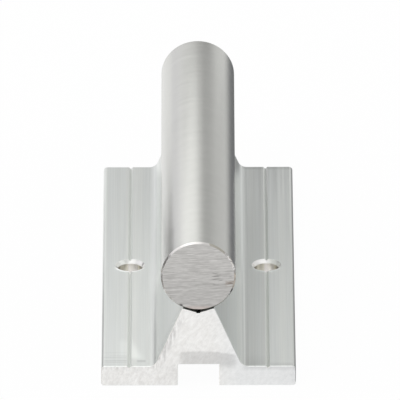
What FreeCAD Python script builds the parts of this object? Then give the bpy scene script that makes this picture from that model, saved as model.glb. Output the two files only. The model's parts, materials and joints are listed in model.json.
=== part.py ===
import FreeCAD, Part
import math
import os
import Sketcher

# A round guide shaft bolted down on an extruded aluminium support rail.
# Frame: +Z up, +Y along the shaft towards its overhanging end, +X across the flanges.
# The origin lies on the base plane, midway between the two flange holes.

# Driving dimensions in millimetres and degrees
DIMENSIONS = (
    ("shaft_diameter", 20.0, "outside diameter of the shaft"),
    ("shaft_height", 32.0, "base plane to shaft centre"),
    ("shaft_overhang", 4.0, "shaft beyond the rear end of the rail"),
    ("shaft_end_chamfer", 0.45, "edge break on both ends of the shaft"),
    ("rail_length", 130.0, "sawn length of the rail"),
    ("rail_width", 52.0, "width over both flanges"),
    ("saw_edge_chamfer", 0.15, "edge break round both sawn ends of the rail"),
    ("flange_thickness", 5.7, "base plane to flange top"),
    ("flange_edge_radius", 1.0, "outer top edges of the flanges"),
    ("base_edge_radius", 0.8, "outer bottom edges of the flanges"),
    ("riser_base_width", 23.5, "riser faces met with the flange tops, before the fillet"),
    ("riser_fillet_radius", 2.5, "fillet between riser and flange"),
    ("seat_width", 8.6, "width of the V seat under the shaft"),
    ("seat_angle", 156.0, "included angle of the V seat"),
    ("seat_edge_radius", 0.25, "rounded edges of the V seat"),
    ("seat_clearance", 0.02, "shaft to V seat"),
    ("relief_width", 1.0, "narrow relief along the bottom of the V seat"),
    ("relief_depth", 0.65, "depth of the relief"),
    ("groove_lip_radius", 0.4, "rounded mouth of the base groove"),
    ("score_width", 1.1, "drilling score along each flange"),
    ("score_depth", 0.5, "depth of the drilling score"),
    ("flange_hole_spacing", 37.0, "between the two flange holes, and their scores"),
    ("flange_hole_diameter", 6.6, "clearance hole in each flange"),
    ("countersink_diameter", 7.8, "mouth of the flange hole"),
    ("countersink_angle", 60.0, "included angle of the mouth of the flange hole"),
    ("screw_end_distance", 25.0, "end of the rail to the nearest shaft screw"),
    ("thread_diameter", 6.0, "thread of the shaft screws"),
    ("thread_engagement", 9.2, "screw inside the shaft"),
    ("thread_clearance", 0.05, "screw to the wall of its tapped hole"),
    ("thread_chamfer", 0.7, "tip of the screw"),
    ("tapping_allowance", 1.5, "tapped hole beyond the tip of the screw"),
    ("drill_point_angle", 118.0, "bottom of the tapped hole"),
    ("screw_hole_clearance", 0.3, "screw to the wall of its hole in the riser"),
    ("screw_head_diameter", 10.0, "cap head of the shaft screws"),
    ("screw_head_height", 6.0, "cap head of the shaft screws"),
    ("screw_head_chamfer", 0.5, "outer edge of the cap head"),
    ("head_side_clearance", 0.5, "cap head to each wall of the base groove"),
    ("head_recess", 0.2, "cap head above the base plane"),
    ("socket_width", 5.0, "hexagon socket across its flats"),
    ("socket_depth", 3.0, "depth of the hexagon socket"),
)

# Sizes that follow from the driving dimensions
GROOVE_WIDTH = "Dimensions.screw_head_diameter + 2 * Dimensions.head_side_clearance"
GROOVE_DEPTH = "Dimensions.screw_head_height + Dimensions.head_recess"
SHAFT_BOTTOM = "Dimensions.shaft_height - Dimensions.shaft_diameter / 2"
SHAFT_LENGTH = "Dimensions.rail_length + Dimensions.shaft_overhang"
SEAT_CIRCLE = "Dimensions.shaft_diameter + 2 * Dimensions.seat_clearance"
SCREW_DISTANCE = "Dimensions.rail_length - 2 * Dimensions.screw_end_distance"
SCREW_LENGTH = f"{SHAFT_BOTTOM} - ({GROOVE_DEPTH}) + Dimensions.thread_engagement"
SCREW_HOLE = "Dimensions.thread_diameter + 2 * Dimensions.screw_hole_clearance"
TAPPED_HOLE = "Dimensions.thread_diameter + 2 * Dimensions.thread_clearance"
TAPPED_DEPTH = "Dimensions.thread_engagement + Dimensions.tapping_allowance"

# Numbers that sketches use for the ends of a line, the centre of a circle and their own axes
START, END, CENTRE = range(1, 4)
H_AXIS, V_AXIS = range(-1, -3, -1)
ORIGIN = (H_AXIS, START)
HEXAGON = 6
NEAR = 0.001

doc = FreeCAD.newDocument("supported_shaft")
sheet = doc.addObject("Spreadsheet::Sheet", "Dimensions")
for row, (alias, number, meaning) in enumerate(DIMENSIONS, start=1):
    sheet.set(f"A{row}", meaning)
    sheet.set(f"B{row}", str(number))
    sheet.setAlias(f"B{row}", alias)
doc.recompute()


def value(expression):
    """Number that an expression on the sheet has now."""
    return float(sheet.evalExpression(expression))


def new_body(name):
    body = doc.addObject("PartDesign::Body", name)
    body.Label = name
    return body


def new_sketch(body, name, role, offset=None):
    """Sketch on one of the body's origin planes, moved along its normal by an expression."""
    sketch = body.newObject("Sketcher::SketchObject", name)
    plane = next(item for item in body.Origin.OriginFeatures if item.Role == role)
    sketch.AttachmentSupport = [(plane, "")]
    sketch.MapMode = "FlatFace"
    if offset:
        sketch.setExpression("AttachmentOffset.Base.z", offset)
    return sketch


def bind(sketch, name, kind, places, expression):
    """Add one dimension to a sketch and tie it to the sheet."""
    start = value(expression)
    if kind == "Angle":
        start = math.radians(start)
    index = sketch.addConstraint(Sketcher.Constraint(kind, *places, start))
    sketch.renameConstraint(index, name)
    sketch.setExpression("Constraints." + name, expression)


def add_outline(sketch, points):
    """Closed outline of straight lines; line n starts at point n."""
    corners = [FreeCAD.Vector(x, y, 0) for x, y in points]
    following = corners[1:] + corners[:1]
    for corner, next_corner in zip(corners, following):
        sketch.addGeometry(Part.LineSegment(corner, next_corner))
    for line in range(len(corners)):
        sketch.addConstraint(Sketcher.Constraint("Coincident", line, END, (line + 1) % len(corners), START))


def add_circle(sketch, x, y, diameter, construction=False):
    centre = FreeCAD.Vector(x, y, 0)
    circle = Part.Circle(centre, FreeCAD.Vector(0, 0, 1), value(diameter) / 2)
    return sketch.addGeometry(circle, construction)


def add_hole_pair(sketch, axis, kind, distance, diameter):
    """Two equal circles on one sketch axis, the same distance each side of the origin."""
    reach = value(distance) / 2
    along_x = axis == H_AXIS
    for side in (-1, 1):
        add_circle(sketch, side * reach * along_x, side * reach * (not along_x), diameter)
    sketch.addConstraint(Sketcher.Constraint("PointOnObject", 0, CENTRE, axis))
    sketch.addConstraint(Sketcher.Constraint("Symmetric", 0, CENTRE, 1, CENTRE, *ORIGIN))
    sketch.addConstraint(Sketcher.Constraint("Equal", 0, 1))
    bind(sketch, "distance", kind, (0, CENTRE, 1, CENTRE), distance)
    bind(sketch, "diameter", "Diameter", (0,), diameter)


def dress(body, kind, name, base, edges, size_property, alias):
    """Round or chamfer the named edges of the body's last feature."""
    feature = body.newObject(kind, name)
    feature.Base = (base, edges)
    feature.setExpression(size_property, "Dimensions." + alias)
    doc.recompute()
    return feature


def lengthwise_edges(shape, x, z):
    """Names of the two edges along Y that pass through (x, z) and (-x, z)."""
    names = []
    for number, edge in enumerate(shape.Edges, start=1):
        middle = edge.BoundBox.Center
        at_corner = abs(abs(middle.x) - x) < NEAR and abs(middle.z - z) < NEAR
        if at_corner and edge.BoundBox.YLength > NEAR:
            names.append(f"Edge{number}")
    return names


def end_edges(shape):
    """Names of the edges that lie in the two end planes across Y."""
    ends = (shape.BoundBox.YMin, shape.BoundBox.YMax)
    names = []
    for number, edge in enumerate(shape.Edges, start=1):
        box = edge.BoundBox
        if box.YLength < NEAR and min(abs(box.Center.y - end) for end in ends) < NEAR:
            names.append(f"Edge{number}")
    return names


# Support rail: one extruded section, sawn to length, drilled and deburred
def right_half_of_section():
    """Named corners of the rail's section, from the groove round to the relief under the shaft."""
    groove_x = value(GROOVE_WIDTH) / 2
    outer_x = value("Dimensions.rail_width") / 2
    flange_z = value("Dimensions.flange_thickness")
    score_x = value("Dimensions.flange_hole_spacing") / 2
    score_half = value("Dimensions.score_width") / 2
    seat_x = value("Dimensions.seat_width") / 2
    relief_x = value("Dimensions.relief_width") / 2
    half_angle = math.radians(value("Dimensions.seat_angle") / 2)
    valley_z = value("Dimensions.shaft_height") - value(SEAT_CIRCLE) / 2 / math.sin(half_angle)
    relief_z = valley_z + relief_x / math.tan(half_angle)
    return {
        "groove": (groove_x, value(GROOVE_DEPTH)),
        "lip": (groove_x, 0),
        "base": (outer_x, 0),
        "flange": (outer_x, flange_z),
        "outer": (score_x + score_half, flange_z),
        "score": (score_x, flange_z - value("Dimensions.score_depth")),
        "inner": (score_x - score_half, flange_z),
        "foot": (value("Dimensions.riser_base_width") / 2, flange_z),
        "seat": (seat_x, valley_z + seat_x / math.tan(half_angle)),
        "relief": (relief_x, relief_z),
        "floor": (relief_x, relief_z - value("Dimensions.relief_depth")),
    }


def draw_section(sketch):
    corners = right_half_of_section()
    right = list(corners.values())
    left = [(-x, z) for x, z in reversed(right)]
    add_outline(sketch, right + left)
    line = {name: index for index, name in enumerate(corners)}
    at = {name: (index, START) for name, index in line.items()}
    opposite = {name: (len(right + left) - 1 - index, START) for name, index in line.items()}
    left_flank = opposite["relief"][0]
    for name in corners:
        sketch.addConstraint(Sketcher.Constraint("Symmetric", *at[name], *opposite[name], V_AXIS))
    for name in ("groove", "base", "relief"):
        sketch.addConstraint(Sketcher.Constraint("Vertical", line[name]))
    for name in ("flange", "inner"):
        sketch.addConstraint(Sketcher.Constraint("Horizontal", line[name]))
    for name in ("lip", "base"):
        sketch.addConstraint(Sketcher.Constraint("PointOnObject", *at[name], H_AXIS))
    sketch.addConstraint(Sketcher.Constraint("Horizontal", *at["outer"], *at["inner"]))
    sketch.addConstraint(Sketcher.Constraint("Equal", line["outer"], line["score"]))

    # The shaft's circle sets the height of the V seat
    circle = add_circle(sketch, 0, value("Dimensions.shaft_height"), SEAT_CIRCLE, construction=True)
    sketch.addConstraint(Sketcher.Constraint("PointOnObject", circle, CENTRE, V_AXIS))
    sketch.addConstraint(Sketcher.Constraint("Tangent", line["seat"], circle))
    bind(sketch, "shaft_height", "DistanceY", (*ORIGIN, circle, CENTRE), "Dimensions.shaft_height")
    bind(sketch, "seat_circle", "Diameter", (circle,), SEAT_CIRCLE)
    bind(sketch, "seat_angle", "Angle", (line["seat"], END, left_flank, START), "Dimensions.seat_angle")

    across = {
        "groove": GROOVE_WIDTH,
        "base": "Dimensions.rail_width",
        "score": "Dimensions.flange_hole_spacing",
        "foot": "Dimensions.riser_base_width",
        "seat": "Dimensions.seat_width",
        "relief": "Dimensions.relief_width",
    }
    for name, expression in across.items():
        bind(sketch, name + "_span", "DistanceX", (*opposite[name], *at[name]), expression)
    bind(sketch, "score_width", "DistanceX", (*at["inner"], *at["outer"]), "Dimensions.score_width")
    bind(sketch, "groove_depth", "DistanceY", (*ORIGIN, *at["groove"]), GROOVE_DEPTH)
    bind(sketch, "flange_thickness", "DistanceY", (*ORIGIN, *at["flange"]), "Dimensions.flange_thickness")
    bind(sketch, "score_depth", "DistanceY", (*at["score"], *at["outer"]), "Dimensions.score_depth")
    bind(sketch, "relief_depth", "DistanceY", (*at["floor"], *at["relief"]), "Dimensions.relief_depth")


def make_rail():
    body = new_body("support_rail")
    section = new_sketch(body, "rail_section", "XZ_Plane")
    draw_section(section)
    extrusion = body.newObject("PartDesign::Pad", "extrusion")
    extrusion.Profile = section
    extrusion.SideType = "Symmetric"
    extrusion.setExpression("Length", "Dimensions.rail_length")
    doc.recompute()

    corners = right_half_of_section()
    rounded = {
        "lip": "groove_lip_radius",
        "base": "base_edge_radius",
        "flange": "flange_edge_radius",
        "foot": "riser_fillet_radius",
        "seat": "seat_edge_radius",
    }
    last = extrusion
    for corner, alias in rounded.items():
        edges = lengthwise_edges(last.Shape, *corners[corner])
        last = dress(body, "PartDesign::Fillet", corner + "_rounding", last, edges, "Radius", alias)
    sawn_edges = end_edges(last.Shape)
    dress(body, "PartDesign::Chamfer", "sawn_ends", last, sawn_edges, "Size", "saw_edge_chamfer")

    flange_sketch = new_sketch(body, "flange_hole_places", "XY_Plane", "Dimensions.flange_thickness")
    spacing = "Dimensions.flange_hole_spacing"
    add_hole_pair(flange_sketch, H_AXIS, "DistanceX", spacing, "Dimensions.flange_hole_diameter")
    doc.recompute()
    flange_holes = body.newObject("PartDesign::Hole", "flange_holes")
    flange_holes.Profile = flange_sketch
    flange_holes.DepthType = "ThroughAll"
    flange_holes.DrillPoint = "Flat"
    flange_holes.HoleCutType = "Countersink"
    flange_holes.setExpression("Diameter", "Dimensions.flange_hole_diameter")
    flange_holes.setExpression("HoleCutDiameter", "Dimensions.countersink_diameter")
    flange_holes.setExpression("HoleCutCountersinkAngle", "Dimensions.countersink_angle")
    doc.recompute()

    screw_sketch = new_sketch(body, "screw_hole_places", "XY_Plane")
    add_hole_pair(screw_sketch, V_AXIS, "DistanceY", SCREW_DISTANCE, SCREW_HOLE)
    screw_holes = body.newObject("PartDesign::Pocket", "screw_holes")
    screw_holes.Profile = screw_sketch
    screw_holes.Type = "ThroughAll"
    screw_holes.Reversed = True
    doc.recompute()
    return body


# Shaft: a ground round bar, flush with the front end of the rail, tapped from below
def make_shaft():
    body = new_body("shaft")
    section = new_sketch(body, "shaft_section", "XZ_Plane", "Dimensions.rail_length / 2")
    height = "Dimensions.shaft_height"
    circle = add_circle(section, 0, value(height), "Dimensions.shaft_diameter")
    section.addConstraint(Sketcher.Constraint("PointOnObject", circle, CENTRE, V_AXIS))
    bind(section, "height", "DistanceY", (*ORIGIN, circle, CENTRE), height)
    bind(section, "diameter", "Diameter", (circle,), "Dimensions.shaft_diameter")
    bar = body.newObject("PartDesign::Pad", "bar")
    bar.Profile = section
    bar.Reversed = True
    bar.setExpression("Length", SHAFT_LENGTH)
    doc.recompute()
    dress(body, "PartDesign::Chamfer", "bar_ends", bar, end_edges(bar.Shape), "Size", "shaft_end_chamfer")

    places = new_sketch(body, "tapped_hole_places", "XY_Plane", SHAFT_BOTTOM)
    add_hole_pair(places, V_AXIS, "DistanceY", SCREW_DISTANCE, TAPPED_HOLE)
    doc.recompute()
    tapped_holes = body.newObject("PartDesign::Hole", "tapped_holes")
    tapped_holes.Profile = places
    tapped_holes.Reversed = True
    tapped_holes.DepthType = "Dimension"
    tapped_holes.DrillPoint = "Angled"
    tapped_holes.setExpression("Diameter", TAPPED_HOLE)
    tapped_holes.setExpression("Depth", TAPPED_DEPTH)
    tapped_holes.setExpression("DrillPointAngle", "Dimensions.drill_point_angle")
    doc.recompute()
    return body


# Shaft screws: cap screws from below, their heads bearing on the ceiling of the base groove
def draw_screw_half(sketch):
    """Half of the screw's outline, from its drive end at the bottom to its tip."""
    thread = value("Dimensions.thread_diameter") / 2
    head = value("Dimensions.screw_head_diameter") / 2
    height = value("Dimensions.screw_head_height")
    head_break = value("Dimensions.screw_head_chamfer")
    tip_break = value("Dimensions.thread_chamfer")
    length = value(SCREW_LENGTH)
    corners = {
        "drive_centre": (0, -height),
        "drive_rim": (head - head_break, -height),
        "head_side": (head, head_break - height),
        "bearing_rim": (head, 0),
        "neck": (thread, 0),
        "thread_end": (thread, length - tip_break),
        "tip_rim": (thread - tip_break, length),
        "tip_centre": (0, length),
    }
    add_outline(sketch, list(corners.values()))
    line = {name: index for index, name in enumerate(corners)}
    at = {name: (index, START) for name, index in line.items()}
    for name in ("drive_centre", "bearing_rim", "tip_rim"):
        sketch.addConstraint(Sketcher.Constraint("Horizontal", line[name]))
    for name in ("head_side", "neck"):
        sketch.addConstraint(Sketcher.Constraint("Vertical", line[name]))
    for name in ("drive_centre", "tip_centre"):
        sketch.addConstraint(Sketcher.Constraint("PointOnObject", *at[name], V_AXIS))
    sketch.addConstraint(Sketcher.Constraint("PointOnObject", *at["bearing_rim"], H_AXIS))
    dimensions = (
        ("head_radius", "DistanceX", ORIGIN, at["bearing_rim"], "Dimensions.screw_head_diameter / 2"),
        ("head_height", "DistanceY", at["drive_centre"], at["bearing_rim"], "Dimensions.screw_head_height"),
        ("head_break_x", "DistanceX", at["drive_rim"], at["head_side"], "Dimensions.screw_head_chamfer"),
        ("head_break_z", "DistanceY", at["drive_rim"], at["head_side"], "Dimensions.screw_head_chamfer"),
        ("thread_radius", "DistanceX", ORIGIN, at["neck"], "Dimensions.thread_diameter / 2"),
        ("length", "DistanceY", at["neck"], at["tip_centre"], SCREW_LENGTH),
        ("tip_break_x", "DistanceX", at["tip_rim"], at["thread_end"], "Dimensions.thread_chamfer"),
        ("tip_break_z", "DistanceY", at["thread_end"], at["tip_rim"], "Dimensions.thread_chamfer"),
    )
    for name, kind, start, end, expression in dimensions:
        bind(sketch, name, kind, (*start, *end), expression)


def draw_hexagon(sketch, across_flats):
    radius = value(across_flats) / 2 / math.cos(math.pi / HEXAGON)
    turns = [2 * math.pi * corner / HEXAGON for corner in range(HEXAGON)]
    add_outline(sketch, [(radius * math.cos(turn), radius * math.sin(turn)) for turn in turns])
    rim = sketch.addGeometry(
        Part.Circle(FreeCAD.Vector(0, 0, 0), FreeCAD.Vector(0, 0, 1), radius), True)
    sketch.addConstraint(Sketcher.Constraint("Coincident", rim, CENTRE, *ORIGIN))
    sketch.addConstraint(Sketcher.Constraint("PointOnObject", 0, START, H_AXIS))
    for line in range(HEXAGON):
        sketch.addConstraint(Sketcher.Constraint("PointOnObject", line, START, rim))
    for line in range(1, HEXAGON):
        sketch.addConstraint(Sketcher.Constraint("Equal", 0, line))
    bind(sketch, "across_flats", "Distance", (0, START, 2), across_flats)


def make_screws():
    body = new_body("front_screw")
    body.setExpression("Placement.Base.y", f"-({SCREW_DISTANCE}) / 2")
    body.setExpression("Placement.Base.z", GROOVE_DEPTH)
    half = new_sketch(body, "screw_half", "XZ_Plane")
    draw_screw_half(half)
    turned = body.newObject("PartDesign::Revolution", "turned_screw")
    turned.Profile = half
    turned.ReferenceAxis = (half, ["V_Axis"])
    doc.recompute()
    outline = new_sketch(body, "socket_outline", "XY_Plane", "-Dimensions.screw_head_height")
    draw_hexagon(outline, "Dimensions.socket_width")
    socket = body.newObject("PartDesign::Pocket", "socket")
    socket.Profile = outline
    socket.Reversed = True
    socket.setExpression("Length", "Dimensions.socket_depth")
    doc.recompute()

    rear = doc.addObject("Part::Mirroring", "rear_screw")
    rear.Source = body
    rear.Normal = FreeCAD.Vector(0, 1, 0)
    screws = doc.addObject("Part::Compound", "shaft_screws")
    screws.Links = [body, rear]
    doc.recompute()
    return screws


sub_parts = (make_rail(), make_shaft(), make_screws())

for item in doc.Objects:
    if "Invalid" in item.State or "Error" in item.State:
        raise RuntimeError(f"{item.Name} failed: {item.State}")
for sketch in doc.findObjects("Sketcher::SketchObject"):
    if not sketch.FullyConstrained:
        raise RuntimeError(f"{sketch.Name} is not fully constrained")
for part in sub_parts:
    if part.Shape.isNull() or not part.Shape.isValid():
        raise RuntimeError(f"{part.Label} has no valid shape")

os.makedirs("parts", exist_ok=True)
for part in sub_parts:
    part.Shape.exportStep(f"parts/{part.Label}.step")
    print(part.Label, len(part.Shape.Solids), round(part.Shape.Volume, 1), part.Shape.BoundBox)
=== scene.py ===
import bpy
import json
import math
from collections import namedtuple
from mathutils import Matrix, Vector
from types import SimpleNamespace


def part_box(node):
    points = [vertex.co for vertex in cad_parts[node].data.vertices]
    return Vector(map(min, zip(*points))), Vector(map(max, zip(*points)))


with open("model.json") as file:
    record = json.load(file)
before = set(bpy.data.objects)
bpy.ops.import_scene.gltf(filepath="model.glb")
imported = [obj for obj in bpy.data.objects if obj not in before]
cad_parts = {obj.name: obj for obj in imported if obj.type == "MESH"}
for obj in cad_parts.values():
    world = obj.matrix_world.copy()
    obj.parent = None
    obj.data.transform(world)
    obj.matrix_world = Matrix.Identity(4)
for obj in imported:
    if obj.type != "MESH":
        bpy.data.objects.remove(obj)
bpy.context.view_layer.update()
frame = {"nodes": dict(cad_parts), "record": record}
scene = bpy.context.scene

# Sizes of the part in millimetres: X runs across the flanges, Y to the rear and Z up from the base
MM = 1000
rail_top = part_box("support_rail")[1] * MM
shaft_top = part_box("shaft")[1] * MM
screws_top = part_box("shaft_screws")[1] * MM
bolt_pattern = next(mount for mount in frame["record"]["mounts"] if mount["name"] == "flange_holes")
RAIL_END = rail_top.y
RAIL_LENGTH = 2 * RAIL_END
RAIL_SIDE = rail_top.x
FLANGE_TOP = 5.7
SCORE_HALF = 0.5
SCORE_DEPTH = 0.6
HOLE_X = bolt_pattern["dims"]["spacing_x_mm"] / 2
COUNTERSINK = 0.6
HOLE_MOUTH_R = bolt_pattern["dims"]["hole_r_mm"] + COUNTERSINK
SHAFT_R = shaft_top.x
SHAFT_Z = shaft_top.z - SHAFT_R
SEAT_SLOPE = math.radians(12.0)
SEAT_HALF = 4.3
SEAT_ROOT = SHAFT_Z - SHAFT_R / math.cos(SEAT_SLOPE)
SEAT_EDGE = SEAT_ROOT + SEAT_HALF * math.tan(SEAT_SLOPE)
FLANK_SLOPE = math.radians(66.3)
FLANGE_START = 12.0
HEAD_R = screws_top.x
HEAD_SEAT = 6.2
SCREW_Y = screws_top.y - HEAD_R
KNURL_TEETH = 44
BUMP_DEPTH = 0.0002

# What a surface looks like: colour, roughness, and height for the bump
Finish = namedtuple("Finish", "colour roughness height")

# Soft rectangle on the rail: from, to and softness across X and behind the front end, then its tone
Patch = namedtuple("Patch", "across behind tone")


class Graph:
    """Short ways to add nodes to one node tree and join them."""

    def __init__(self, tree):
        self.tree = tree
        tree.nodes.clear()

    def feed(self, socket, source):
        if isinstance(source, bpy.types.NodeSocket):
            self.tree.links.new(source, socket)
        else:
            socket.default_value = source

    def node(self, kind, inputs=None, **settings):
        node = self.tree.nodes.new(kind)
        for name, setting in settings.items():
            setattr(node, name, setting)
        for name, source in (inputs or {}).items():
            self.feed(node.inputs[name], source)
        return node

    def math(self, operation, first, second=0.0):
        return self.node("ShaderNodeMath", {0: first, 1: second}, operation=operation).outputs[0]

    def all_of(self, *factors):
        """Product of masks or numbers."""
        product = factors[0]
        for factor in factors[1:]:
            product = self.math("MULTIPLY", product, factor)
        return product

    def weigh(self, *terms):
        """Sum of sources, each times its own number."""
        total = 0.0
        for source, weight in terms:
            total = self.math("ADD", self.math("MULTIPLY", source, weight), total)
        return total

    def distance(self, first, second):
        """Length of the hypotenuse over two numbers."""
        return self.math("SQRT", self.math("ADD", self.all_of(first, first), self.all_of(second, second)))

    def ramp(self, source, low, high, start=0.0, end=1.0):
        """Smooth change from start to end while the source goes from low to high."""
        inputs = {"Value": source, "From Min": low, "From Max": high, "To Min": start, "To Max": end}
        return self.node("ShaderNodeMapRange", inputs, interpolation_type="SMOOTHSTEP").outputs[0]

    def within(self, source, low, high, soft):
        """1 between low and high, with soft edges outside them."""
        return self.all_of(self.ramp(source, low - soft, low), self.ramp(source, high + soft, high))

    def inside(self, at, patch):
        """1 inside a patch of the rail."""
        return self.all_of(self.within(at.x, *patch.across), self.within(at.behind, *patch.behind))

    def stretch(self, vector, scale, turn=(0, 0, 0), shift=(0, 0, 0)):
        inputs = {"Vector": vector, "Scale": scale, "Rotation": turn, "Location": shift}
        return self.node("ShaderNodeMapping", inputs).outputs[0]

    def noise(self, vector, scale, detail=2.0, roughness=0.5):
        inputs = {"Vector": vector, "Scale": scale, "Detail": detail, "Roughness": roughness}
        return self.node("ShaderNodeTexNoise", inputs).outputs["Fac"]

    def mix(self, factor, first, second):
        """Colour between two colours."""
        node = self.node("ShaderNodeMix", data_type="RGBA")
        self.feed(node.inputs["Factor"], factor)
        self.feed(node.inputs[6], first)
        self.feed(node.inputs[7], second)
        return node.outputs[2]

    def blend(self, factor, first, second):
        """Number between two numbers."""
        node = self.node("ShaderNodeMix", data_type="FLOAT")
        self.feed(node.inputs["Factor"], factor)
        self.feed(node.inputs[2], first)
        self.feed(node.inputs[3], second)
        return node.outputs[0]

    def where(self, mask, tone):
        """The tone where the mask is 1, and 1 elsewhere."""
        return self.blend(mask, 1.0, tone)

    def shade(self, colour, *tones):
        """Colour times tones that vary over the surface."""
        for tone in tones:
            node = self.node("ShaderNodeVectorMath", {0: colour}, operation="SCALE")
            self.feed(node.inputs["Scale"], tone)
            colour = node.outputs[0]
        return colour

    def layer(self, mask, below, above):
        """One finish over another where the mask is 1."""
        return Finish(
            self.mix(mask, below.colour, above.colour),
            self.blend(mask, below.roughness, above.roughness),
            self.blend(mask, below.height, above.height),
        )

    def surface(self):
        """Position on the part in millimetres, the way the surface faces, and masks of its sides."""
        coordinates = self.node("ShaderNodeTexCoord").outputs
        vector = self.stretch(coordinates["Object"], (MM, MM, MM))
        x, y, z = self.node("ShaderNodeSeparateXYZ", {0: vector}).outputs
        facing = self.node("ShaderNodeSeparateXYZ", {0: coordinates["Normal"]})
        facing_x, facing_y, facing_z = facing.outputs
        return SimpleNamespace(
            vector=vector,
            x=x,
            y=y,
            z=z,
            out=self.math("ABSOLUTE", x),
            behind=self.math("ADD", y, RAIL_END),
            facing_x=facing_x,
            facing_out=self.math("ABSOLUTE", facing_x),
            facing_end=self.math("ABSOLUTE", facing_y),
            front=self.ramp(y, 1.0, -1.0),
            right=self.ramp(x, -1.0, 1.0),
            top=self.ramp(facing_z, 0.8, 0.95),
        )

    def metal(self, finish, bump, anisotropy=0.0):
        """Metal with this finish; anisotropy spreads its gloss round the Y axis."""
        normal = self.node(
            "ShaderNodeBump", {"Strength": bump, "Distance": BUMP_DEPTH, "Height": finish.height})
        inputs = {
            "Base Color": finish.colour,
            "Metallic": 1.0,
            "Roughness": finish.roughness,
            "Normal": normal.outputs[0],
        }
        if anisotropy:
            inputs["Anisotropic"] = anisotropy
            inputs["Tangent"] = self.node("ShaderNodeTangent", direction_type="RADIAL", axis="Y").outputs[0]
        shader = self.node("ShaderNodeBsdfPrincipled", inputs)
        self.node("ShaderNodeOutputMaterial", {"Surface": shader.outputs[0]})


def new_material(name):
    material = bpy.data.materials.new(name)
    material.use_nodes = True
    return material, Graph(material.node_tree)


# Shaft: its marks are placed across X and by their height over the axis, at.up
GROUND_STEEL = ((0.61, 0.615, 0.585, 1), (0.65, 0.65, 0.62, 1))
SAWN_STEEL = ((0.46, 0.45, 0.435, 1), (0.615, 0.605, 0.59, 1))
BURRED_STEEL = ((0.50, 0.47, 0.43, 1), (0.74, 0.73, 0.72, 1))
WARM_FOOT = (0.66, 0.57, 0.53, 1)
FACE_STAIN = (0.36, 0.30, 0.25, 1)
RIM_PAINTED_HIGHLIGHT = (0.70, 0.685, 0.665)
RIM_DULL = (0.46, 0.445, 0.39, 1)
RIM_STAIN = (0.80, 0.74, 0.665)
BAR_SAW_TILT = math.radians(3.0)
DARK_SPOT_X = -4.6
DARK_SPOT_UP = -8.4


def ground_side(g, at):
    """Grinding rings, a slow drift of tone, painted shade at the front left of the top, and a painted
    reflection that makes the crown paler in front.
    """
    rings = g.noise(g.stretch(at.vector, (0.05, 1, 0.05)), 0.8, 4.0, 0.65)
    dashes = g.noise(g.stretch(at.vector, (0.2, 1, 0.2)), 1.0, 3.0, 0.6)
    drift = g.noise(g.stretch(at.vector, (0.06, 0.03, 0.06)), 1.0)
    upper = g.ramp(at.up, 0.0, 1.0)
    # Painted shade: a darker patch at the front left of the top
    smudge = g.all_of(upper, g.within(at.x, -9.1, -6.6, 0.7), g.ramp(at.behind, 23.0, 11.0))
    # Painted reflection: the crown paler in front and darker towards the rear
    painted_sheen_crown = g.all_of(upper, g.within(at.x, -0.9, 1.2, 1.5))
    colour = g.mix(drift, *GROUND_STEEL)
    colour = g.shade(
        colour,
        g.ramp(rings, 0.3, 0.7, 0.98, 1.015),
        g.ramp(dashes, 0.3, 0.7, 0.98, 1.015),
        g.where(smudge, 0.945),
        g.where(painted_sheen_crown, g.ramp(at.behind, 110.0, 5.0, 0.972, 1.033)),
    )
    return Finish(colour, g.ramp(rings, 0.2, 0.8, 0.22, 0.26), g.weigh((rings, 0.02), (dashes, 0.1)))


def dark_rim_spot(g, at):
    """1 in a dark spot low on the left of the front rim."""
    off_dark_spot = g.distance(g.math("SUBTRACT", at.x, DARK_SPOT_X), g.math("SUBTRACT", at.up, DARK_SPOT_UP))
    return g.all_of(at.front, g.ramp(off_dark_spot, 0.6, 0.3))


def sawn_bar(g, at):
    """Saw marks nearly level across the bar, gouges and a stain on the right, a warm foot and a dark spot.
    """
    tilted = g.stretch(at.vector, (1, 1, 1), (0, BAR_SAW_TILT, 0))
    strokes = g.noise(g.stretch(tilted, (0.04, 1, 1)), 2.4, 5.0, 0.75)
    fine = g.noise(g.stretch(tilted, (0.12, 1, 1)), 4.5)
    gouge_lines = g.noise(g.stretch(tilted, (0.10, 1, 1), (0, 0, 0), (3, 0, 7)), 2.6)
    gouged = g.all_of(at.front, g.within(at.x, 4.5, 8.5, 2.0), g.within(at.up, -2.5, 1.0, 1.5))
    gouges = g.all_of(g.ramp(gouge_lines, 0.58, 0.66), gouged)
    stained = g.all_of(at.front, g.within(at.x, 7.6, 9.4, 0.8), g.within(at.up, -2.5, -1.6, 0.7))
    stain = g.all_of(stained, g.ramp(fine, 0.6, 0.4))
    foot = g.all_of(g.within(at.x, -2.5, 2.5, 1.5), g.ramp(at.up, -8.2, -9.2))
    colour = g.mix(g.ramp(strokes, 0.3, 0.7), *SAWN_STEEL)
    colour = g.mix(g.math("MULTIPLY", foot, 0.6), colour, WARM_FOOT)
    colour = g.mix(stain, colour, FACE_STAIN)
    colour = g.shade(
        colour,
        g.ramp(fine, 0.3, 0.7, 0.88, 1.08),
        # Painted shade: the end face darker towards the bottom and lighter towards the top
        g.ramp(at.up, -8.0, 8.0, 0.945, 1.04),
        g.where(gouges, 0.62),
        g.where(dark_rim_spot(g, at), 0.35),
    )
    height = g.weigh((strokes, 0.6), (gouges, -0.5))
    return Finish(colour, g.ramp(strokes, 0.2, 0.8, 0.52, 0.42), height)


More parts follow.
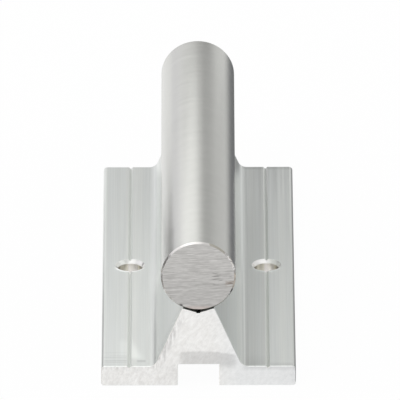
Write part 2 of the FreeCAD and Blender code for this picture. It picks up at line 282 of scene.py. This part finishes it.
def burred_rim(g, at):
    """Edge break: a painted highlight at the upper left, then dull, painted glints and a stain on the
    right, and painted shade near the seat.
    """
    burrs = g.noise(at.vector, 1.3, 3.0, 0.6)
    painted_glints = g.ramp(g.noise(at.vector, 1.1), 0.4, 0.6, 0.6, 1.35)
    # Painted highlight on the rim at the upper left
    bright = g.all_of(at.front, g.within(at.x, -7.6, 2.2, 0.8), g.ramp(at.up, 5.6, 6.6))
    dull = g.all_of(at.front, g.within(at.x, 3.4, 6.6, 0.8), g.ramp(at.up, 0.0, 1.0))
    stain = g.all_of(at.front, g.ramp(at.x, 8.2, 9.2), g.within(at.up, -3.0, 0.5, 1.0))
    colour = g.mix(g.ramp(burrs, 0.35, 0.65), *BURRED_STEEL)
    colour = g.mix(bright, colour, g.shade(RIM_PAINTED_HIGHLIGHT, g.ramp(at.x, -5.0, 1.0, 1.2, 0.9)))
    colour = g.mix(dull, colour, RIM_DULL)
    colour = g.shade(
        colour,
        # Painted shade: the rim darkens near the seat
        g.ramp(at.up, -9.7, -7.8, 0.35, 1.0),
        g.where(dark_rim_spot(g, at), 0.4),
        # Painted glints on the right of the rim
        g.where(g.ramp(at.x, 6.0, 8.5), painted_glints),
    )
    colour = g.mix(stain, colour, g.shade(RIM_STAIN, g.ramp(burrs, 0.35, 0.65, 0.75, 1.05)))
    return Finish(colour, g.blend(stain, 0.25, 0.65), g.math("MULTIPLY", burrs, 0.3))


def ground_steel():
    material, g = new_material("ground_steel")
    at = g.surface()
    at.up = g.math("SUBTRACT", at.z, SHAFT_Z)
    sawn = g.ramp(at.facing_end, 0.88, 0.95)
    rim = g.math("SUBTRACT", g.ramp(at.facing_end, 0.3, 0.5), sawn)
    finish = g.layer(sawn, ground_side(g, at), sawn_bar(g, at))
    finish = g.layer(rim, finish, burred_rim(g, at))
    g.metal(finish, 0.3, 0.5)
    return material


# Support rail: its marks are placed across X and by their distance behind the front end
DIE_SKIN = ((0.81, 0.835, 0.815, 1), (0.835, 0.855, 0.825, 1))
SAWN_WARM = ((0.845, 0.835, 0.815, 1), (0.955, 0.95, 0.935, 1))
SAWN_COOL = ((0.835, 0.845, 0.845, 1), (0.895, 0.90, 0.90, 1))
BORE_SHADE_AND_LIGHT = ((0.92, 0.895, 0.80, 1), (1.0, 0.975, 0.95, 1))
HOLE_MOUTH = (0.99, 0.985, 0.965)
# Burr along the left cut edge of the front end, pale, with a painted highlight on it
BURR_WITH_HIGHLIGHT = Finish((0.97, 0.96, 0.93, 1), 0.8, 0.0)
# Painted reflections along the right fillet
FILLET_PAINTED_REFLECTIONS = (
    # From and to in the sideways part of the normal, then the tone at the rear and at the front
    (0.52, 0.66, 1.08, 0.86),
    (0.36, 0.46, 0.94, 1.06),
    (0.08, 0.28, 0.97, 0.91),
)
# Patches of painted light and shade on the fillets
FILLET_PAINTED_PATCHES = (
    Patch((-13.0, -9.8, 0.6), (54.0, 61.0, 14.0), 1.045),
    Patch((-11.6, -9.8, 0.6), (52.0, 58.0, 8.0), 1.045),
    Patch((-11.6, -9.8, 0.6), (122.0, RAIL_LENGTH, 16.0), 0.955),
    Patch((9.7, 11.3, 0.6), (60.0, 85.0, 14.0), 0.96),
)
FLANGE_MARKS = {
    "rubbed": Patch((-20.6, -19.2, 1.2), (9.0, 14.0, 5.0), 1.07),
    "nick": Patch((-16.2, -14.4, 0.5), (2.9, 3.7, 0.5), 0.84),
    # Painted shade: on the right flange near the front, at its front edge and at its rear edge
    "smudge": Patch((12.8, 17.5, 0.8), (0.0, 1.0, 8.0), 0.92),
    "rolled_front": Patch((19.5, 25.0, 0.4), (0.0, 0.5, 2.5), 0.88),
    "rolled_rear": Patch((FLANGE_START, RAIL_SIDE, 1.0), (RAIL_LENGTH - 1.2, RAIL_LENGTH, 1.2), 0.88),
}
WIPE_SLANT = 3.8

# Centre of the saw's arcs on the rail's ends and how long its strokes are, and the arc of the step
RAIL_SAW_X = 63.0
RAIL_SAW_Z = -35.0
STROKE_SPAN = 22.0
STEP_X = 0.5
STEP_Z = -30.0
STEP_R = 39.9

# Chip in the mouth of the left hole
CHIP_X = 3.6 - HOLE_X
CHIP_Y = 1.3


def flank_tones(g, at):
    """Flanks of the riser with painted light: the left one paler at its foot and darker above it, the right
    one lighter; saw drag streaks the front of the left one.
    """
    steep = g.ramp(at.facing_out, 0.7, 0.88)
    # Painted light and shade on the flanks
    left_flank_painted_light = g.ramp(at.z, 6.5, 10.5, 1.10, 0.925)
    yield g.where(steep, g.blend(at.right, left_flank_painted_light, 1.07))
    down_flank = g.stretch(at.vector, (1, 1, 0.08), (0, math.pi / 2 - FLANK_SLOPE, 0))
    drag = g.all_of(g.ramp(at.facing_x, -0.6, -0.8), g.ramp(at.behind, 8.0, 2.0))
    yield g.where(drag, g.ramp(g.noise(down_flank, 1.8, 3.0, 0.7), 0.35, 0.65, 0.78, 1.06))


def score_tone(g, at):
    """Walls of the right score, with painted light: the outer one is dark, and darker towards the rear; the
    rest is lighter.
    """
    deep = g.within(at.z, FLANGE_TOP - SCORE_DEPTH, FLANGE_TOP, 0.05)
    score = g.all_of(at.right, deep, g.within(at.off_score, -SCORE_HALF, SCORE_HALF, 0.1))
    outer_wall_painted_shade = g.ramp(at.behind, 55.0, 120.0, 0.90, 0.68)
    return g.where(score, g.ramp(at.facing_x, -0.4, 0.0, outer_wall_painted_shade, 1.14))


def fillet_tones(g, at):
    """Painted reflections in strips along the fillets beside the riser, painted shade on the left one, and
    slow painted patches of light and shade on them.
    """
    frontward = g.ramp(at.behind, 85.0, 40.0)
    right_fillet = g.within(at.x, 9.0, 13.5, 0.5)
    for low, high, rear_tone, front_tone in FILLET_PAINTED_REFLECTIONS:
        reflection_strip = g.all_of(right_fillet, g.within(at.facing_x, low, high, 0.05))
        yield g.where(reflection_strip, g.blend(frontward, rear_tone, front_tone))
    # Painted shade on the left fillet and along its root near the front
    left_fillet = g.all_of(g.within(at.x, -14.0, -12.2, 0.3), g.within(at.facing_x, -0.5, -0.08, 0.06))
    yield g.where(left_fillet, 0.92)
    left_root = g.all_of(g.within(at.x, -12.1, -11.4, 0.25), g.ramp(at.facing_x, -0.5, -0.6))
    yield g.where(g.all_of(left_root, g.ramp(at.behind, 40.0, 15.0)), 0.84)
    for patch in FILLET_PAINTED_PATCHES:
        yield g.where(g.inside(at, patch), patch.tone)


def flange_tones(g, at):
    """Painted light and shade: slow changes of tone over the tops of the flanges, the right one darker
    beside the riser, and lighter towards the rear.
    """
    right_flange = g.all_of(at.top, g.ramp(at.x, FLANGE_START, FLANGE_START + 2.0))
    yield g.where(right_flange, g.ramp(at.x, HOLE_X - 1.0, HOLE_X + 1.5, 0.96, 1.06))
    beside_fillets = g.ramp(at.out, FLANGE_START, FLANGE_START + 2.0)
    left_and_inner = g.all_of(at.top, beside_fillets, g.ramp(at.x, FLANGE_START + 6.0, FLANGE_START))
    yield g.where(left_and_inner, g.ramp(at.behind, 15.0, 125.0, 0.985, 1.035))
    right_outer = g.all_of(at.top, g.ramp(at.x, HOLE_X + 0.5, HOLE_X + 1.5))
    yield g.where(right_outer, g.ramp(at.behind, 75.0, 115.0, 1.0, 1.03))


def edge_tones(g, at):
    """Painted shade as a dark line on the rounded outer edges, on the left only in front; uneven edges at
    the sawn ends.
    """
    outermost = g.all_of(g.ramp(at.out, RAIL_SIDE - 1.1, RAIL_SIDE - 1.0), g.ramp(at.z, 4.0, 4.5))
    rounded = g.all_of(outermost, g.within(at.facing_out, 0.55, 0.9, 0.08))
    dark_line_reach = g.blend(at.right, g.ramp(at.behind, 75.0, 25.0), 1.0)
    # Painted shade along the rounded outer edges
    yield g.where(g.all_of(rounded, dark_line_reach), 0.68)
    uneven = g.ramp(g.noise(g.stretch(at.vector, (1, 0, 0)), 0.7), 0.30, 0.45, 0.8, 1.0)
    yield g.where(g.within(at.facing_end, 0.4, 0.8, 0.1), uneven)


def handling_marks(g, at):
    """Marks on the flanges: scratches across the front left corner, a wiped wedge, and the listed ones,
    some of them painted shade.
    """
    across = g.noise(g.stretch(at.vector, (0.02, 1, 0.05)), 1.6, 3.0, 0.7)
    scratched = g.all_of(at.top, g.within(at.x, -25.2, -19.3, 0.3), g.ramp(at.behind, 10.0, 6.5))
    yield g.where(scratched, g.ramp(across, 0.35, 0.65, 0.82, 1.06))
    slant = g.weigh((at.behind, 1.0), (at.x, WIPE_SLANT))
    wiped = g.all_of(
        at.top, g.within(at.x, -17.8, -14.5, 0.5), g.ramp(slant, -47.0, -57.0),
        g.ramp(at.behind, 27.0, 19.0), g.ramp(at.behind, 3.5, 6.5))
    yield g.where(wiped, 1.18)
    for mark in FLANGE_MARKS.values():
        yield g.where(g.all_of(at.top, g.inside(at, mark)), mark.tone)


def die_skin(g, at):
    """Lines that the die left along the extrusion, with painted light and shade on its faces and edges, and
    its marks.
    """
    along = g.stretch(at.vector, (1, 0.006, 1))
    bands = g.noise(along, 0.32)
    lines = g.noise(along, 1.1, 3.0, 0.6)
    hairs = g.noise(along, 4.5, 2.0, 0.6)
    colour = g.mix(g.ramp(bands, 0.35, 0.65), *DIE_SKIN)
    colour = g.shade(
        colour,
        g.ramp(lines, 0.25, 0.75, 0.97, 1.02),
        g.ramp(hairs, 0.25, 0.75, 0.97, 1.03),
        score_tone(g, at),
        *flank_tones(g, at),
        *fillet_tones(g, at),
        *flange_tones(g, at),
        *edge_tones(g, at),
        *handling_marks(g, at),
    )
    return Finish(colour, g.ramp(lines, 0.25, 0.75, 0.33, 0.40), g.weigh((lines, 0.35), (hairs, 0.15)))


def end_tones(g, at, torn):
    """Torn patches, a duller foot and right corner, the step over the groove, and the burr on the left."""
    low_left = g.all_of(g.ramp(at.z, 7.0, 5.0), g.ramp(at.x, 4.0, -4.0))
    yield g.ramp(torn, 0.3, 0.7, g.blend(low_left, 0.955, 0.90), g.blend(low_left, 1.03, 1.05))
    yield g.ramp(at.z, 7.0, 13.0, 0.965, 1.0)
    beside_groove = g.blend(at.right, 0.965, 1.0)
    yield g.where(g.ramp(at.z, 6.5, 5.0), g.ramp(at.x, -12.0, -6.0, 1.015, beside_groove))
    right_corner = g.all_of(g.ramp(at.x, 11.0, 13.0), g.ramp(at.z, 4.0, 5.4))
    yield g.where(right_corner, 0.86)
    step_radius = g.distance(g.math("SUBTRACT", at.x, STEP_X), g.math("SUBTRACT", at.z, STEP_Z))
    ragged = g.weigh((step_radius, 1.0), (torn, 0.5))
    over_groove = g.all_of(g.within(at.x, -3.5, 8.5, 2.5), g.ramp(at.z, 4.5, 6.5))
    yield g.where(g.all_of(at.front, over_groove, g.ramp(ragged, STEP_R + 0.8, STEP_R)), 0.80)
    inward = g.weigh(
        (g.math("ADD", at.x, SEAT_HALF), math.sin(FLANK_SLOPE)),
        (g.math("SUBTRACT", at.z, SEAT_EDGE), -math.cos(FLANK_SLOPE)))
    burr = g.all_of(at.front, g.ramp(inward, 2.6, 0.6), g.within(at.z, 7.0, 18.0, 3.0))
    along_flank = g.stretch(at.vector, (1, 1, 0.1), (0, FLANK_SLOPE - math.pi / 2, 0))
    yield g.where(burr, g.ramp(g.noise(along_flank, 1.5, 3.0, 0.7), 0.35, 0.65, 0.72, 1.12))


def sawn_section(g, at):
    """Saw arcs over torn metal, warm on the left and cool on the right."""
    out_x = g.math("SUBTRACT", at.x, RAIL_SAW_X)
    out_z = g.math("SUBTRACT", at.z, RAIL_SAW_Z)
    round_arc = g.math("MULTIPLY", g.math("ARCTAN2", out_z, out_x), STROKE_SPAN)
    arcs = g.node("ShaderNodeCombineXYZ", {0: g.distance(out_x, out_z), 1: round_arc}).outputs[0]
    strokes = g.noise(arcs, 1.2, 5.0, 0.75)
    torn = g.noise(at.vector, 0.8, 4.0, 0.7)
    warm = g.mix(g.ramp(strokes, 0.3, 0.7), *SAWN_WARM)
    cool = g.mix(g.ramp(strokes, 0.3, 0.7), *SAWN_COOL)
    colour = g.shade(g.mix(g.ramp(at.x, 2.0, 12.0), warm, cool), *end_tones(g, at, torn))
    return Finish(colour, 0.45, g.weigh((strokes, 0.25), (torn, 0.25)))


def seat_shadow(g, at):
    """Tone of the dark line under the shaft, on the front end along the seat."""
    below_seat = g.weigh((at.z, -1.0), (at.out, math.tan(SEAT_SLOPE)), (1.0, SEAT_ROOT))
    past_line = g.math("SUBTRACT", below_seat, g.ramp(at.out, 4.0, 0.5, 0.02, 0.28))
    line = g.all_of(at.front, g.ramp(at.facing_end, 0.3, 0.5), g.ramp(past_line, 0.1, 0.0))
    return g.where(line, 0.04)


def drilled_hole(g, at):
    """Bright countersink over a duller, streaked bore with painted light across it and painted shade at its
    ends; chatter in the right hole, a chip in the left.
    """
    streaks = g.noise(g.stretch(at.vector, (1, 1, 0.15)), 0.9, 3.0, 0.6)
    turned = g.noise(g.stretch(at.vector, (0.1, 0.1, 1)), 4.0)
    chatter = g.noise(g.stretch(at.vector, (1, 0.3, 0.3)), 0.55, 3.0, 0.6)
    off_axis = g.math("MULTIPLY", at.off_score, g.math("SIGN", at.x))
    beside_axis = g.math("ABSOLUTE", at.off_score)
    # Painted light in a band across the bore, and painted shade towards its ends
    lit = g.within(off_axis, -0.3, 1.9, 0.5)
    bore = g.mix(lit, *BORE_SHADE_AND_LIGHT)
    bore = g.shade(bore, g.ramp(streaks, 0.35, 0.65, 0.85, 1.0), g.ramp(beside_axis, 2.2, 3.1, 1.0, 0.5))
    cut_side = g.all_of(at.right, g.ramp(off_axis, 1.6, 2.4))
    mouth = g.shade(HOLE_MOUTH, g.where(cut_side, g.ramp(chatter, 0.35, 0.6, 0.72, 1.0)))
    colour = g.mix(g.ramp(at.z, FLANGE_TOP - 1.4, FLANGE_TOP - 1.0), bore, mouth)
    off_chip = g.distance(g.math("SUBTRACT", at.x, CHIP_X), g.math("SUBTRACT", at.y, CHIP_Y))
    colour = g.shade(colour, g.ramp(turned, 0.3, 0.7, 0.96, 1.03), g.ramp(off_chip, 0.3, 0.7, 0.5, 1.0))
    return Finish(colour, 0.34, g.math("MULTIPLY", turned, 0.2))


def pressed_lip(g, at, finish, from_hole):
    """Finish with the flange raised along the front of each hole, and a painted highlight there."""
    lip = g.all_of(g.ramp(from_hole, HOLE_MOUTH_R + 1.0, HOLE_MOUTH_R), g.ramp(at.y, -0.5, -2.5))
    # Painted highlight along the front of each hole
    pale = g.all_of(g.ramp(from_hole, HOLE_MOUTH_R + 0.7, HOLE_MOUTH_R + 0.3), g.ramp(at.y, -0.5, -2.0))
    return finish._replace(
        colour=g.shade(finish.colour, g.where(pale, g.blend(at.right, 1.22, 1.08))),
        height=g.weigh((finish.height, 1.0), (lip, 2.5)),
    )


def extruded_aluminium():
    material, g = new_material("extruded_aluminium")
    at = g.surface()
    at.off_score = g.math("SUBTRACT", at.out, HOLE_X)
    from_hole = g.distance(at.off_score, at.y)
    at_end = g.ramp(g.math("ABSOLUTE", at.y), RAIL_END - 2.0, RAIL_END - 1.0)
    sawn = g.all_of(at_end, g.ramp(at.facing_end, 0.88, 0.95))
    drilled = g.ramp(from_hole, HOLE_MOUTH_R + 0.1, HOLE_MOUTH_R + 0.02)
    # Burr with a painted highlight along the left cut edge of the front end
    burr_with_highlight = g.all_of(
        at.front, at_end, g.within(at.facing_end, 0.45, 0.8, 0.1), g.ramp(at.facing_x, -0.25, -0.4))
    finish = g.layer(sawn, die_skin(g, at), sawn_section(g, at))
    finish = pressed_lip(g, at, finish, from_hole)
    finish = g.layer(drilled, finish, drilled_hole(g, at))
    finish = g.layer(burr_with_highlight, finish, BURR_WITH_HIGHLIGHT)
    finish = finish._replace(colour=g.shade(finish.colour, seat_shadow(g, at)))
    g.metal(finish, 0.25, 0.7)
    return material


# Shaft screws
ZINC = ((0.56, 0.59, 0.63, 1), (0.70, 0.70, 0.69, 1))


def zinc_plate():
    """Cloudy plating, with a straight knurl round the heads and painted shade in its grooves."""
    material, g = new_material("zinc_plated_steel")
    at = g.surface()
    cloud = g.noise(at.vector, 0.6, 3.0, 0.6)
    grain = g.noise(at.vector, 7.0)
    off_axis = g.math("SUBTRACT", g.math("ABSOLUTE", at.y), SCREW_Y)
    teeth = g.math("SINE", g.math("MULTIPLY", g.math("ARCTAN2", off_axis, at.x), KNURL_TEETH))
    head = g.ramp(at.z, HEAD_SEAT - 0.4, HEAD_SEAT - 0.6)
    side = g.all_of(head, g.ramp(g.distance(off_axis, at.x), HEAD_R - 0.2, HEAD_R - 0.1))
    knurl = g.all_of(teeth, side)
    colour = g.mix(cloud, *ZINC)
    # Painted shade in the grooves of the knurl
    colour = g.shade(colour, g.ramp(knurl, -1.0, 0.0, 0.6, 1.0))
    g.metal(Finish(colour, g.ramp(cloud, 0.3, 0.7, 0.30, 0.42), g.weigh((grain, 0.15), (knurl, 0.5))), 1.0)
    return material


materials = {
    "shaft": ground_steel(),
    "support_rail": extruded_aluminium(),
    "shaft_screws": zinc_plate(),
}
for name, material in materials.items():
    node = frame["nodes"][name]
    node.data.materials.clear()
    node.data.materials.append(material)


# Floor: white to the camera and in reflections, with a trace of the part's shadow
FLOOR_SIZE = 6.0
FLOOR_DROP = 0.0002
FLOOR_WHITE = 0.955
FLOOR_PAINT = (0.95, 0.95, 0.95, 1)
bpy.ops.mesh.primitive_plane_add(size=FLOOR_SIZE, location=(0, 0, -FLOOR_DROP))
floor = bpy.context.object
floor.name = "floor"
floor_material, g = new_material("white_floor")
paint = g.node("ShaderNodeBsdfDiffuse", {"Color": FLOOR_PAINT})
glow = g.node("ShaderNodeEmission", {"Color": (1, 1, 1, 1), "Strength": 1.0})
path = g.node("ShaderNodeLightPath").outputs
seen = g.math("ADD", path["Is Camera Ray"], path["Is Glossy Ray"])
seen = g.math("ADD", seen, path["Is Transmission Ray"])
share = g.math("MULTIPLY", g.math("MINIMUM", seen, 1.0), FLOOR_WHITE)
floor_look = g.node("ShaderNodeMixShader", {0: share, 1: paint.outputs[0], 2: glow.outputs[0]})
g.node("ShaderNodeOutputMaterial", {"Surface": floor_look.outputs[0]})
floor.data.materials.append(floor_material)


# Studio walls: their colour by the sideways part of the direction, dimmer in the middle, and a pale front
WALLS = (
    (-1.00, (0.90, 0.893, 0.92)),
    (-0.40, (0.87, 0.863, 0.89)),
    (-0.30, (0.81, 0.807, 0.815)),
    (-0.21, (0.755, 0.755, 0.755)),
    (-0.13, (0.67, 0.67, 0.67)),
    (-0.02, (0.545, 0.545, 0.545)),
    (0.20, (0.535, 0.535, 0.535)),
    (0.40, (0.69, 0.69, 0.69)),
    (1.00, (0.72, 0.72, 0.72)),
)
FRONT_WALL = (0.98, 0.98, 0.98, 1)
world = bpy.data.worlds.new("studio")
scene.world = world
world.use_nodes = True
g = Graph(world.node_tree)
direction = g.node("ShaderNodeTexCoord").outputs["Generated"]
sideways, onward = g.node("ShaderNodeSeparateXYZ", {0: direction}).outputs[:2]
walls = g.node("ShaderNodeValToRGB", {0: g.weigh((sideways, 0.5), (1.0, 0.5))})
walls.color_ramp.interpolation = "EASE"
stops = walls.color_ramp.elements
for number, (place, colour) in enumerate(WALLS):
    position = (place + 1) / 2
    stop = stops[number] if number < len(stops) else stops.new(position)
    stop.position = position
    stop.color = (*colour, 1)
surround = g.mix(g.ramp(onward, -0.2, -0.6), walls.outputs[0], FRONT_WALL)
background = g.node("ShaderNodeBackground", {"Color": surround, "Strength": 1.0})
g.node("ShaderNodeOutputWorld", {"Surface": background.outputs[0]})


# Softboxes, in metres
LAMP_AIM = Vector((0, 0, 0.03))


def softbox(name, place, width, height, radiance):
    """Lamp that faces the part; radiance 1 is as bright as white paper in the light."""
    lamp = bpy.data.lights.new(name, "AREA")
    lamp.shape = "RECTANGLE"
    lamp.size = width
    lamp.size_y = height
    lamp.energy = radiance * math.pi * width * height
    rig = bpy.data.objects.new(name, lamp)
    scene.collection.objects.link(rig)
    rig.location = place
    rig.rotation_euler = (Vector(place) - LAMP_AIM).to_track_quat("Z", "Y").to_euler()
    rig.visible_camera = False


softbox("overhead", (-0.18, -0.20, 0.9), width=0.8, height=0.8, radiance=0.8)
softbox("left_back", (-0.055, 0.20, 0.167), width=0.119, height=0.10, radiance=0.30)
softbox("left_back_wide", (-0.043, 0.201, 0.167), width=0.143, height=0.10, radiance=0.25)
softbox("left_back_low", (-0.095, 0.20, 0.101), width=0.05, height=0.032, radiance=0.20)
softbox("left_low", (-0.035, 0.20, 0.08), width=0.06, height=0.05, radiance=0.06)
softbox("right_low", (0.060, 0.20, 0.053), width=0.03, height=0.05, radiance=0.12)


# Dark cards that only reflections show, in metres
CARD_LIFT = 0.0003
CARD_DARK = (0.165, 0.17, 0.18, 1)
CARD_FADE = 0.31
FLAT = (0, 0, 0)
FLAT_TURNED = (0, 0, math.radians(-60.9))
FACING_X = (0, math.radians(90), 0)
FACING_Y = (math.radians(90), 0, 0)


def card(name, place, size, stand, far=0.2, dark=0.04, slant=0.0):
    """Card that is dark over a first share of its width and fades to the tone far; slant tilts the fade."""
    bpy.ops.mesh.primitive_plane_add(size=1.0, location=place, rotation=stand)
    plane = bpy.context.object
    plane.name = name
    plane.scale = (*size, 1)
    material, g = new_material(name)
    on_card = g.node("ShaderNodeTexCoord").outputs["Generated"]
    across, along = g.node("ShaderNodeSeparateXYZ", {0: on_card}).outputs[:2]
    fade = g.ramp(g.weigh((across, 1.0), (along, slant)), dark, dark + CARD_FADE)
    tone = g.mix(fade, CARD_DARK, (far, far, far, 1))
    shader = g.node("ShaderNodeEmission", {"Color": tone, "Strength": 1.0})
    g.node("ShaderNodeOutputMaterial", {"Surface": shader.outputs[0]})
    plane.data.materials.append(material)
    plane.visible_camera = False
    plane.visible_diffuse = False
    plane.visible_shadow = False


# The flat cards on the floor are painted shade: dark floor around the part, seen only in reflections
card("right_card", (0.2637, 0.56, CARD_LIFT), (0.4725, 1.28), FLAT, far=0.62, dark=0.085, slant=0.3)
card("rear_card", (0.0157, 0.183, CARD_LIFT), (0.0235, 0.234), FLAT)
card("left_card", (-0.07, -0.069, CARD_LIFT), (0.06, 0.022), FLAT)
card("left_floor_card", (-0.0933, 0.0950, CARD_LIFT), (0.113, 0.066), FLAT_TURNED, far=0.74)
card("left_rear_stand", (-0.130, 0.190, 0.0275), (0.055, 0.090), FACING_X)
card("left_front_stand", (-0.150, -0.0925, 0.045), (0.09, 0.045), FACING_X)
card("back_stand", (0.018, 0.20, 0.0625), (0.032, 0.045), FACING_Y)


# Camera: far away with a long lens, in front of the part and above it
ELEVATION = math.radians(24.316)
ROLL = math.radians(-0.174)
DISTANCE = 3.7369
TARGET = Vector((0.000519, 0.0, 0.025036))
SENSOR_MM = 36.0
LENS_MM = 1241.72
camera_data = bpy.data.cameras.new("camera")
camera_data.sensor_width = SENSOR_MM
camera_data.lens = LENS_MM
camera = bpy.data.objects.new("camera", camera_data)
scene.collection.objects.link(camera)
back = Vector((0, -math.cos(ELEVATION), math.sin(ELEVATION)))
level = Vector((1, 0, 0))
upright = back.cross(level)
right = level * math.cos(ROLL) + upright * math.sin(ROLL)
up = upright * math.cos(ROLL) - level * math.sin(ROLL)
rotation = Matrix((right, up, back)).transposed().to_4x4()
camera.matrix_world = Matrix.Translation(TARGET + back * DISTANCE) @ rotation
scene.camera = camera
scene.view_settings.view_transform = "Standard"
